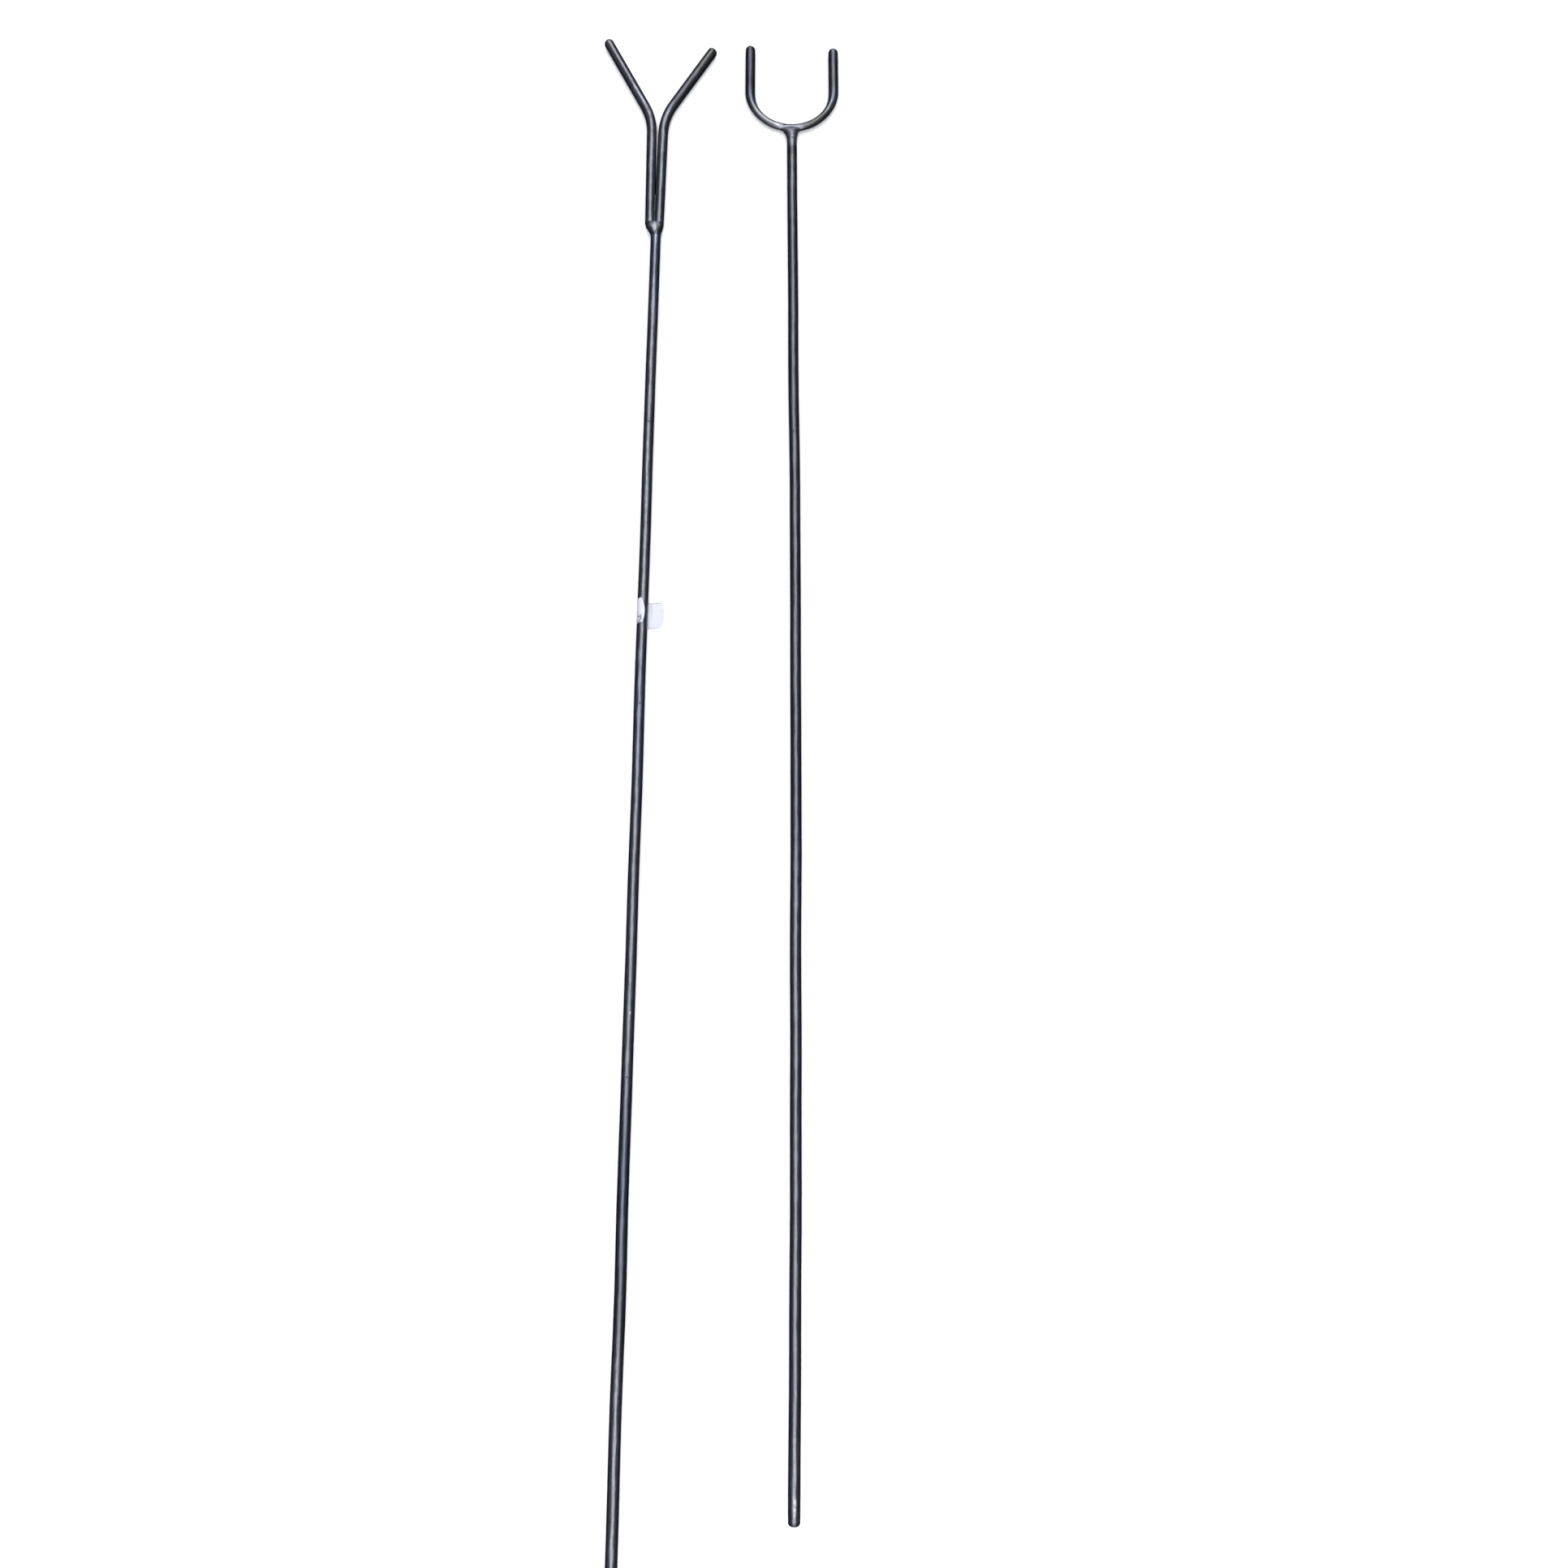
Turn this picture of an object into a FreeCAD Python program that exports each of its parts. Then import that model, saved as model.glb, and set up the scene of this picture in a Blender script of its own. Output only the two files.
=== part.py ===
import FreeCAD
import Part

import math
import os

# A pair of hand-welded forked steel markers, laid side by side on a flat surface.
# One has a U-shaped head bent from a single bar, the other a Y-shaped head of two bent bars.
# Millimetres. +Y runs along the stems to the heads, +X from the Y marker to the U marker, +Z up.
# The origin is at the middle of the pair's outline, on the surface they lie on.

# Bar stock, the same for every bar
bar_diameter = 12.7
stem_length = 1670.2
foot_rounding = 4.0
prong_tip_rounding = 4.5

# U head: one bar drawn down to a thinner waist, bent there round a former, standing on the end of its stem.
# The taper lists (degrees of bend from the arm, share of the way from the bar's radius to the waist's).
u_bend_radius = 54.9
u_left_arm = 70.5
u_right_arm = 66.3
u_waist_radius = 4.5
u_taper = [(8.0, 0.08), (16.0, 0.405), (26.0, 0.703), (38.0, 0.919)]
u_waist_stations = [52.0, 71.0, 90.0]
saddle_weld_length = 14.0
saddle_weld_left_reach = 5.4
saddle_weld_right_reach = 4.6
saddle_weld_climb = 3.6
saddle_weld_spread = 1.9
saddle_weld_flare = [(0.0, 0.02), (0.35, 0.1), (0.7, 0.36), (1.0, 1.0)]

# Y head: two bars side by side on the end of their stem, ground flat where they meet, bent apart above
y_bend_radius = 90.0
y_leg_splay = 0.75
y_leg_flat = 0.7
y_left_leg = 137.7
y_left_arm = 114.2
y_left_angle = 27.5
y_right_leg = 135.3
y_right_arm = 100.1
y_right_angle = 30.9
y_stem_offset = 2.3
neck_weld_length = 20.0
neck_weld_climb = 3.0
neck_weld_spread = 1.0
neck_weld_flare = [(0.0, 0.02), (0.4, 0.3), (0.75, 0.82), (1.0, 1.0)]
seam_weld_length = 40.0
seam_bead_radius = 2.6

# Weld beads: how far they stand proud of the bars, their thin lower edge, and the ground bevel below them.
# A flare above lists (share of the weld's length, share of its full reach) from that edge up to the joint.
weld_stand = 0.5
weld_lip = 0.25
bevel_land_radius = 4.0
seam_bead_gap = 0.2

# Paper price label, wrapped round the Y marker's stem with its free end standing out like a flag
label_length = 51.0
label_width = 32.0
label_thickness = 0.25
label_overhang = 19.5
label_height = 1134.2
label_leaves_at = 280.0

# How the two markers lie beside each other
marker_spacing = 185.6
marker_stagger = 139.8
lay_angle = 0.38

bar_radius = bar_diameter / 2
rest_height = bar_radius + weld_stand
same_place = 0.01


def line(start, end):
    """Straight edge between two points."""
    return Part.LineSegment(start, end).toShape()


def arc(start, middle, end):
    """Circular edge through three points."""
    return Part.Arc(start, middle, end).toShape()


def round_section(radius, centre, heading):
    """Circular outline of that radius, square to the heading."""
    return Part.Wire(Part.makeCircle(radius, centre, heading))


def swept_bar(edges):
    """Sweep the round bar section along tangent lines and arcs."""
    first = edges[0]
    start = first.valueAt(first.FirstParameter)
    heading = first.tangentAt(first.FirstParameter)
    section = round_section(bar_radius, start, heading)
    return Part.Wire(edges).makePipeShell([section], True, False)


def round_tip(bar, tip, radius):
    """Round the rim of the flat bar end that is centred on tip."""
    rims = [edge for edge in bar.Edges if edge.CenterOfMass.distanceToPoint(tip) < same_place]
    return bar.makeFillet(radius, rims)


def stem(weld_length):
    """Straight stem on the Y axis: blunt rounded foot, top end ground to a bevel for its weld."""
    shoulder = stem_length - weld_length
    corner_centre = FreeCAD.Vector(bar_radius - foot_rounding, foot_rounding)
    corner_reach = foot_rounding * math.sqrt(0.5)
    corners = [
        FreeCAD.Vector(0, 0),
        FreeCAD.Vector(corner_centre.x, 0),
        FreeCAD.Vector(corner_centre.x + corner_reach, corner_centre.y - corner_reach),
        FreeCAD.Vector(bar_radius, corner_centre.y),
        FreeCAD.Vector(bar_radius, shoulder),
        FreeCAD.Vector(bevel_land_radius, stem_length),
        FreeCAD.Vector(0, stem_length),
    ]
    axis, rim, knee, side, top, land, centre = corners
    outline = [
        line(axis, rim),
        arc(rim, knee, side),
        line(side, top),
        line(top, land),
        line(land, centre),
        line(centre, axis),
    ]
    profile = Part.Face(Part.Wire(outline))
    return profile.revolve(FreeCAD.Vector(0, 0, 0), FreeCAD.Vector(0, 1, 0), 360)


def weld_section(y, centre_x, half_span, radius):
    """Closed outline across the stem: two half rounds, half_span either side of centre_x."""
    left = centre_x - half_span
    right = centre_x + half_span
    edges = [
        line(FreeCAD.Vector(left, y, radius), FreeCAD.Vector(right, y, radius)),
        arc(
            FreeCAD.Vector(right, y, radius),
            FreeCAD.Vector(right + radius, y, 0),
            FreeCAD.Vector(right, y, -radius),
        ),
        line(FreeCAD.Vector(right, y, -radius), FreeCAD.Vector(left, y, -radius)),
        arc(
            FreeCAD.Vector(left, y, -radius),
            FreeCAD.Vector(left - radius, y, 0),
            FreeCAD.Vector(left, y, radius),
        ),
    ]
    return Part.Wire(edges)


def u_fork():
    """Bar bent to a U, full size in the arms, drawn down in the bend, its lowest point on the stem's end."""
    centre = FreeCAD.Vector(0, stem_length + u_waist_radius + u_bend_radius)
    left_bend = centre - FreeCAD.Vector(u_bend_radius, 0)
    right_bend = centre + FreeCAD.Vector(u_bend_radius, 0)
    thinned = [(turn, bar_radius - share * (bar_radius - u_waist_radius)) for turn, share in u_taper]
    down_the_arm = thinned + [(turn, u_waist_radius) for turn in u_waist_stations]
    up_the_arm = [(180 - turn, radius) for turn, radius in reversed(down_the_arm[:-1])]
    sections = []
    for turn, radius in [(0, bar_radius)] + down_the_arm + up_the_arm + [(180, bar_radius)]:
        angle = math.radians(turn)
        spoke = FreeCAD.Vector(-math.cos(angle), -math.sin(angle))
        heading = FreeCAD.Vector(math.sin(angle), -math.cos(angle))
        sections.append(round_section(radius, centre + spoke * u_bend_radius, heading))
    up = FreeCAD.Vector(0, 1, 0)
    left_arm = Part.makeCylinder(bar_radius, u_left_arm, left_bend, up)
    right_arm = Part.makeCylinder(bar_radius, u_right_arm, right_bend, up)
    bar = Part.makeLoft(sections, True, False).fuse([left_arm, right_arm])
    bar = round_tip(bar, left_bend + up * u_left_arm, prong_tip_rounding)
    return round_tip(bar, right_bend + up * u_right_arm, prong_tip_rounding)


def weld_collar(length, climb, flare, centre_x, half_span, spread, head_radius, bars):
    """Weld all round the stem's top, from a thin edge on the stem to the joint, then up the head's bars.

    spread is how much wider its top end is than the joint, head_radius the radius of the head's bars there.
    """
    sections = []
    for along, share in flare:
        y = stem_length - length * (1 - along)
        radius = bar_radius + weld_lip + (weld_stand - weld_lip) * along
        sections.append(weld_section(y, centre_x * share, half_span * share, radius))
    sections.append(weld_section(stem_length + climb, centre_x, half_span * spread, head_radius + weld_stand))
    weld = Part.makeLoft(sections, True, False)
    for bar in bars:
        weld = weld.cut(bar)
    return weld


def u_saddle_weld(stem_bar, fork_bar):
    """Fillet weld between the stem's end and the underside of the U."""
    lean = (saddle_weld_right_reach - saddle_weld_left_reach) / 2
    reach = (saddle_weld_right_reach + saddle_weld_left_reach) / 2
    bars = [fork_bar, stem_bar]
    return weld_collar(
        saddle_weld_length, saddle_weld_climb, saddle_weld_flare,
        lean, reach, saddle_weld_spread, u_waist_radius, bars,
    )


def y_prong(side, leg, arm, angle):
    """Round bar of the Y head: straight leg beside its twin, then bent out to side (-1 left, 1 right)."""
    splay = math.radians(y_leg_splay)
    spread = math.radians(angle)

    def heading(turn):
        return FreeCAD.Vector(side * math.sin(turn), math.cos(turn))

    def outward(turn):
        return FreeCAD.Vector(side * math.cos(turn), -math.sin(turn))

    foot_reach = bar_radius / math.cos(splay) - y_leg_flat
    foot = FreeCAD.Vector(side * foot_reach - y_stem_offset, stem_length)
    blank_end = foot - heading(splay) * bar_radius
    bend_start = foot + heading(splay) * leg
    bend_centre = bend_start + outward(splay) * y_bend_radius
    bend_middle = bend_centre - outward((splay + spread) / 2) * y_bend_radius
    bend_end = bend_centre - outward(spread) * y_bend_radius
    tip = bend_end + heading(spread) * arm
    straight = line(blank_end, bend_start)
    bar = swept_bar([straight, arc(bend_start, bend_middle, bend_end), line(bend_end, tip)])
    # the splayed leg is cut square to the stem, so that its foot stands flat on the stem's end,
    # and is ground flat on the plane where it meets its twin
    waste = 2 * bar_diameter
    below = Part.makeBox(waste, waste, waste, foot - FreeCAD.Vector(waste / 2, waste, waste / 2))
    far_side = min(0, -side) * waste - y_stem_offset
    beyond = Part.makeBox(waste, leg, waste, FreeCAD.Vector(far_side, stem_length, -waste / 2))
    return round_tip(bar.cut(below).cut(beyond), tip, prong_tip_rounding)


def y_neck_weld(stem_bar, legs):
    """Weld that carries the two legs' ends down to the single stem."""
    bars = [stem_bar] + legs
    reach = bar_radius - y_leg_flat
    return weld_collar(
        neck_weld_length, neck_weld_climb, neck_weld_flare,
        -y_stem_offset, reach, neck_weld_spread, bar_radius, bars,
    )


def y_seam_weld(face, legs):
    """Bead in the groove between the two legs, on the front (1) or the back (-1), from the neck weld up."""
    height = face * (seam_bead_radius + seam_bead_gap)
    low_end = FreeCAD.Vector(-y_stem_offset, stem_length + neck_weld_climb, height)
    bead_run = seam_weld_length - neck_weld_climb
    bead = Part.makeCylinder(seam_bead_radius, bead_run, low_end, FreeCAD.Vector(0, 1, 0))
    for leg in legs:
        bead = bead.cut(leg)
    return bead


def price_label():
    """Paper label stuck round the stem: its wrapped part, then the flag that leaves along the tangent."""
    leave = math.radians(label_leaves_at)
    tangent = FreeCAD.Vector(-math.sin(leave), 0, math.cos(leave))
    flag = (bar_radius + label_overhang - bar_radius * math.cos(leave)) / tangent.x
    wrap = (label_length - flag) / (bar_radius + label_thickness / 2)
    outer = bar_radius + label_thickness
    bottom = FreeCAD.Vector(0, label_height - label_width / 2, 0)

    def around(radius, angle):
        return bottom + FreeCAD.Vector(radius * math.cos(angle), 0, radius * math.sin(angle))

    start = leave - wrap
    middle = leave - wrap / 2
    flag_inside = around(bar_radius, leave) + tangent * flag
    flag_outside = around(outer, leave) + tangent * flag
    outline = [
        arc(around(bar_radius, start), around(bar_radius, middle), around(bar_radius, leave)),
        line(around(bar_radius, leave), flag_inside),
        line(flag_inside, flag_outside),
        line(flag_outside, around(outer, leave)),
        arc(around(outer, leave), around(outer, middle), around(outer, start)),
        line(around(outer, start), around(bar_radius, start)),
    ]
    return Part.Face(Part.Wire(outline)).extrude(FreeCAD.Vector(0, label_width, 0))


def u_marker():
    """The U-headed marker's pieces, stem on the Y axis, foot at the origin."""
    stem_bar = stem(saddle_weld_length)
    fork_bar = u_fork()
    return {
        "u_stem": stem_bar,
        "u_fork": fork_bar,
        "u_saddle_weld": u_saddle_weld(stem_bar, fork_bar),
    }


def y_marker():
    """The Y-headed marker's pieces, stem on the Y axis, foot at the origin."""
    stem_bar = stem(neck_weld_length)
    legs = [
        y_prong(-1, y_left_leg, y_left_arm, y_left_angle),
        y_prong(1, y_right_leg, y_right_arm, y_right_angle),
    ]
    neck_weld = y_neck_weld(stem_bar, legs)
    return {
        "y_stem": stem_bar,
        "y_left_prong": legs[0],
        "y_right_prong": legs[1],
        "y_neck_weld": neck_weld,
        "y_front_seam_weld": y_seam_weld(1, legs),
        "y_back_seam_weld": y_seam_weld(-1, legs),
        "price_label": price_label(),
    }


def outline_box(shapes):
    """Tight box round all the shapes together."""
    box = FreeCAD.BoundBox()
    for shape in shapes:
        box.add(shape.optimalBoundingBox(False, False))
    return box


upright = FreeCAD.Vector(0, 0, 1)
u_lay = FreeCAD.Placement(FreeCAD.Vector(0, 0, rest_height), FreeCAD.Rotation(upright, 0))
y_lay = FreeCAD.Placement(
    FreeCAD.Vector(-marker_spacing, -marker_stagger, rest_height),
    FreeCAD.Rotation(upright, -lay_angle),
)

pieces = {}
for lay, marker in ((u_lay, u_marker()), (y_lay, y_marker())):
    for name, shape in marker.items():
        pieces[name] = shape.transformed(lay.toMatrix())

outline = outline_box(pieces.values())
to_origin = FreeCAD.Vector(-outline.Center.x, -outline.Center.y, -outline.ZMin)

os.makedirs("parts", exist_ok=True)
for name, shape in pieces.items():
    shape.translate(to_origin)
    shape.exportStep("parts/" + name + ".step")
    print(name, "solids", len(shape.Solids), "volume", round(shape.Volume, 1), "valid", shape.isValid())
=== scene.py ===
"""Looks of two hand-welded forked steel markers, one U-headed and one Y-headed, laid on a pale floor."""

import logging
import math
from dataclasses import astuple, dataclass, field
from enum import Enum

import bmesh
import bpy
import numpy as np
from mathutils import Matrix, Vector, noise


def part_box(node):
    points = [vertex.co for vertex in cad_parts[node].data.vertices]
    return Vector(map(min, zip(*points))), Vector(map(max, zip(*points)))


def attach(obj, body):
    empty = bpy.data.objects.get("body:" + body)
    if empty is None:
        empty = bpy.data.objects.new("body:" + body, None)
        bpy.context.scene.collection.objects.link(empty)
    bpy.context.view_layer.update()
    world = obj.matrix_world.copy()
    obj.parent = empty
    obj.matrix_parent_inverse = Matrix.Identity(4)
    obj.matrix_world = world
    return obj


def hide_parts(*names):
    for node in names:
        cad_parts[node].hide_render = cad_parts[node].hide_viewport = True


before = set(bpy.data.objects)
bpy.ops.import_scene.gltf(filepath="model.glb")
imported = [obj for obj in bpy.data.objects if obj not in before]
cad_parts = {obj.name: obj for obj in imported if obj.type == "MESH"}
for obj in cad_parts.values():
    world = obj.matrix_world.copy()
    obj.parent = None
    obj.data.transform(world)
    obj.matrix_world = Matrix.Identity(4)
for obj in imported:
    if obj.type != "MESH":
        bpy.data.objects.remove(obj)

log = logging.getLogger("markers")

MM = 0.001
BAR_COORDS = "bar_coords"
UP = Vector((0.0, 0.0, 1.0))
ALONG_Y = Matrix.Rotation(math.radians(-90), 4, "X")
FOOT_TO_VIEW = Vector((-10.3 * MM, 783.8 * MM, 0.0))    # from the U marker's foot to the camera's aim
BARE_METAL = {"Metallic": 1.0, "Specular Tint": (0.35, 0.37, 0.42)}
BARE_SHARE = 0.75       # share of the weld's run that has no stem inside it

Mesh = bmesh.types.BMesh
Socket = bpy.types.NodeSocket


class Side(Enum):
    """Which way a prong leans, as the sign of its X."""

    LEFT = -1
    RIGHT = 1


class Face(Enum):
    """Which face of the marker a bead lies on, as the sign of its Z."""

    FRONT = 1
    BACK = -1


def add_node(tree: bpy.types.NodeTree, kind: str, inputs: dict, **options: str) -> bpy.types.Node:
    """Add a shader node and fill its inputs.

    Args:
        tree: node tree that it joins.
        kind: its type, without the leading ShaderNode.
        inputs: a socket or a constant for each named or numbered input; a colour is three numbers.
        options: settings of the node itself.

    Returns:
        The node.
    """
    node = tree.nodes.new("ShaderNode" + kind)
    for option, value in options.items():
        setattr(node, option, value)
    for key, value in inputs.items():
        socket = node.inputs[key]
        if isinstance(value, Socket):
            tree.links.new(value, socket)
        else:
            socket.default_value = (*value, 1.0) if socket.type == "RGBA" else value
    return node


class Shading:
    """The node tree of one material, with a short call for each kind of node the finishes use."""

    def __init__(self, name: str) -> None:
        """Start an empty material of that name."""
        self.material = bpy.data.materials.new(name)
        self.material.use_nodes = True
        self.tree = self.material.node_tree
        self.tree.nodes.clear()

    def add(self, kind: str, output: str | int, inputs: dict, **options: str) -> Socket:
        """Add a node and give one of its outputs."""
        return add_node(self.tree, kind, inputs, **options).outputs[output]

    def finished(self, surface: dict) -> bpy.types.Material:
        """Close the material with a Principled shader that has those inputs."""
        add_node(self.tree, "OutputMaterial", {"Surface": self.add("BsdfPrincipled", "BSDF", surface)})
        return self.material

    def attribute(self, name: str) -> Socket:
        """Vector of a named attribute of the piece."""
        return self.add("Attribute", "Vector", {}, attribute_name=name)

    def object_coords(self) -> Socket:
        """Object coordinates of the piece, in metres."""
        return self.add("TexCoord", "Object", {})

    def placed(self, vector: Socket, scale: tuple, shift: tuple = (0, 0, 0)) -> Socket:
        """The vector scaled axis by axis and then shifted, which picks another part of a pattern."""
        return self.add("Mapping", "Vector", {"Vector": vector, "Scale": scale, "Location": shift})

    def noise(self, vector: Socket, scale: float, detail: float = 4.0, rough: float = 0.55,
              twist: float = 0.0) -> Socket:
        """Noise from 0 to 1, with its cycles per unit, its octaves, their fading and its distortion."""
        inputs = {"Vector": vector, "Scale": scale, "Detail": detail, "Roughness": rough, "Distortion": twist}
        return self.add("TexNoise", "Fac", inputs)

    def cells(self, vector: Socket, scale: float) -> Socket:
        """Distance to the nearest of scattered points, for pits and grains."""
        return self.add("TexVoronoi", "Distance", {"Vector": vector, "Scale": scale})

    def spread(self, value: Socket, low: float, high: float, to_low: float = 0.0,
               to_high: float = 1.0) -> Socket:
        """The value mapped smoothly from low..high to to_low..to_high, and held at both ends."""
        inputs = {"Value": value, "From Min": low, "From Max": high, "To Min": to_low, "To Max": to_high}
        return self.add("MapRange", "Result", inputs, interpolation_type="SMOOTHSTEP")

    def maths(self, operation: str, first: Socket, second: Socket | float = 0.0) -> Socket:
        """One arithmetic step on two values."""
        return self.add("Math", 0, {0: first, 1: second}, operation=operation)

    def times(self, first: Socket, second: Socket | float) -> Socket:
        """The product of two values."""
        return self.maths("MULTIPLY", first, second)

    def less(self, first: Socket, second: Socket | float) -> Socket:
        """The first value less the second."""
        return self.maths("SUBTRACT", first, second)

    def part(self, vector: Socket, axis: str) -> Socket:
        """One component of a vector."""
        return self.add("SeparateXYZ", axis, {0: vector})

    def blend(self, share: Socket, first: Socket | tuple, second: Socket | tuple) -> Socket:
        """Colour that goes from first to second as share goes from 0 to 1."""
        return self.add("Mix", 2, {"Factor": share, 6: first, 7: second}, data_type="RGBA")

    def near(self, vector: Socket, place: Vector, stretch: tuple, size: float) -> Socket:
        """Mask that is 1 at a place and fades to 0 at size from it.

        Args:
            vector: coordinates, in metres.
            place: the spot's centre in the same coordinates.
            stretch: factor by which the spot is longer along each axis.
            size: distance at which the mask is 0.

        Returns:
            The mask.
        """
        squeeze = tuple(1.0 / s for s in stretch)
        centre = tuple(-p * s for p, s in zip(place, squeeze))
        moved = self.placed(vector, squeeze, centre)
        distance = self.add("VectorMath", "Value", {0: moved}, operation="LENGTH")
        return self.spread(distance, size * 0.45, size, 1.0, 0.0)

    def bumped(self, *layers: tuple[Socket, float, float]) -> Socket:
        """Surface normal bent by layers of height patterns.

        Args:
            layers: from the lowest up, each a pattern from 0 to 1, its depth in metres and its strength.

        Returns:
            The bent normal.
        """
        under = {}
        for height, depth, strength in layers:
            inputs = {"Height": height, "Distance": depth, "Strength": strength, **under}
            under = {"Normal": self.add("Bump", "Normal", inputs)}
        return under["Normal"]


@dataclass(frozen=True)
class Zone:
    """A stretch of bar with its own tint, as heat, grinding or wear leaves it, or painted shade where a
    rounded end is darkened to dim its glint.

    Attributes:
        centre: distance along the bar of the zone's middle.
        half: half the zone's length.
        amount: how far the bar's colour goes towards the zone's.
        gloss: how much smoother the metal is there (negative is rougher).
    """

    centre: float
    half: float
    colour: tuple
    amount: float = 0.8
    gloss: float = 0.0


@dataclass(frozen=True)
class Spot:
    """A single mark on a bar: a nick, a pit, a rubbed patch, a painted highlight or a painted shade line.

    Attributes:
        along: distance along the bar.
        turn: angle round the bar from its right-hand side, in degrees; 90 is the front.
        size: radius of the mark.
        stretch: how many times longer than wide it is, along the bar.
        broken: how softly the bar's speckle breaks it up, or 0 for a solid mark.
        radius: radius of the bar there, or 0 for its usual one.
    """

    along: float
    turn: float
    size: float
    stretch: float = 1.0
    colour: tuple = (0.012, 0.013, 0.016)
    depth: float = 0.0
    broken: float = 0.0
    radius: float = 0.0


@dataclass(frozen=True)
class MillScale:
    """Hot-rolled round bar with its dark scale still on: blue-grey, patchy, streaked along its length.

    Attributes:
        shift: offset that gives each bar its own part of the pattern.
        radius: bar radius, to place marks on its surface.
        relief: depth of the scale's unevenness.
    """

    name: str
    shift: float
    radius: float
    zones: tuple = ()
    spots: tuple = ()
    blue: tuple = (0.150, 0.168, 0.192)
    violet: tuple = (0.152, 0.148, 0.170)
    deep: tuple = (0.058, 0.068, 0.084)
    rust: tuple = (0.105, 0.082, 0.060)
    bright: tuple = (0.30, 0.315, 0.345)
    roughness: tuple = (0.27, 0.41)
    relief: float = 0.05 * MM

    def material(self) -> bpy.types.Material:
        """Build the node material."""
        s = Shading(self.name)
        bar = s.attribute(BAR_COORDS)
        moved = s.placed(bar, (1, 1, 1), (0, self.shift, 0))
        cloud = s.noise(s.placed(moved, (45, 9, 45)), 1.0, 5.0, 0.6)
        streak = s.noise(s.placed(moved, (620, 16, 620)), 1.0, 4.0, 0.65)
        mottle = s.noise(s.placed(moved, (260, 120, 260)), 1.0, 6.0, 0.7, 0.6)
        grain = s.noise(moved, 1500.0, 3.0, 0.6)
        speckle = s.noise(s.placed(moved, (1, 0.45, 1)), 430.0, 4.0, 0.7)
        waviness = s.noise(s.placed(moved, (120, 40, 120), (4, 1, 8)), 1.0, 1.5, 0.45)
        colour = s.blend(s.spread(cloud, 0.38, 0.64), self.blue, self.violet)
        colour = s.blend(s.spread(speckle, 0.50, 0.72, 0.0, 0.42), colour, self.bright)
        colour = s.blend(s.spread(mottle, 0.52, 0.72, 0.0, 0.65), colour, self.deep)
        colour = s.blend(s.spread(streak, 0.60, 0.80, 0.0, 0.45), colour, self.deep)
        blush = s.noise(s.placed(moved, (90, 22, 90), (7, 3, 1)), 1.0, 5.0, 0.65)
        colour = s.blend(s.spread(blush, 0.62, 0.78, 0.0, 0.35), colour, self.rust)
        worn = s.maths("ADD", s.times(mottle, 0.6), s.times(streak, 0.4))
        rough = s.spread(worn, 0.32, 0.68, *self.roughness)
        along = s.part(bar, "Y")
        for zone in self.zones:
            share = self._zone_share(s, along, mottle, zone)
            colour = s.blend(share, colour, zone.colour)
            rough = s.less(rough, s.times(share, zone.gloss))
        pit_points = s.cells(s.placed(moved, (1, 0.55, 1)), 480.0)
        pit_field = s.noise(s.placed(moved, (30, 20, 30), (2, 5, 9)), 1.0, 3.0)
        pits = s.times(s.spread(pit_points, 0.10, 0.26, 1.0, 0.0), s.spread(pit_field, 0.52, 0.62))
        colour = s.blend(s.times(pits, 0.7), colour, self.deep)
        height = s.less(s.times(mottle, 0.6), s.times(pits, 0.8))
        for spot in self.spots:
            place = radial_vector(math.radians(spot.turn)) * (spot.radius or self.radius)
            place.y = spot.along
            mask = s.near(bar, place, (1, spot.stretch, 1), spot.size)
            if spot.broken:
                mask = s.times(mask, s.spread(speckle, 0.5 - spot.broken, 0.5 + spot.broken))
            colour = s.blend(mask, colour, spot.colour)
            if spot.depth:
                height = s.less(height, s.times(mask, spot.depth / self.relief))
        normal = s.bumped((waviness, 0.9 * MM, 1.0), (height, self.relief, 0.9), (speckle, 0.03 * MM, 0.8),
                          (grain, 0.02 * MM, 0.7), (streak, 0.03 * MM, 0.8))
        return s.finished({**BARE_METAL, "Base Color": colour, "Roughness": rough, "Normal": normal})

    @staticmethod
    def _zone_share(s: Shading, along: Socket, ragged: Socket, zone: Zone) -> Socket:
        """Mask of one zone, with ragged ends."""
        offset = s.maths("ABSOLUTE", s.less(along, zone.centre))
        frayed = s.maths("ADD", offset, s.times(s.less(ragged, 0.5), zone.half))
        return s.spread(frayed, zone.half * 0.55, zone.half * 1.15, zone.amount, 0.0)


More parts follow.
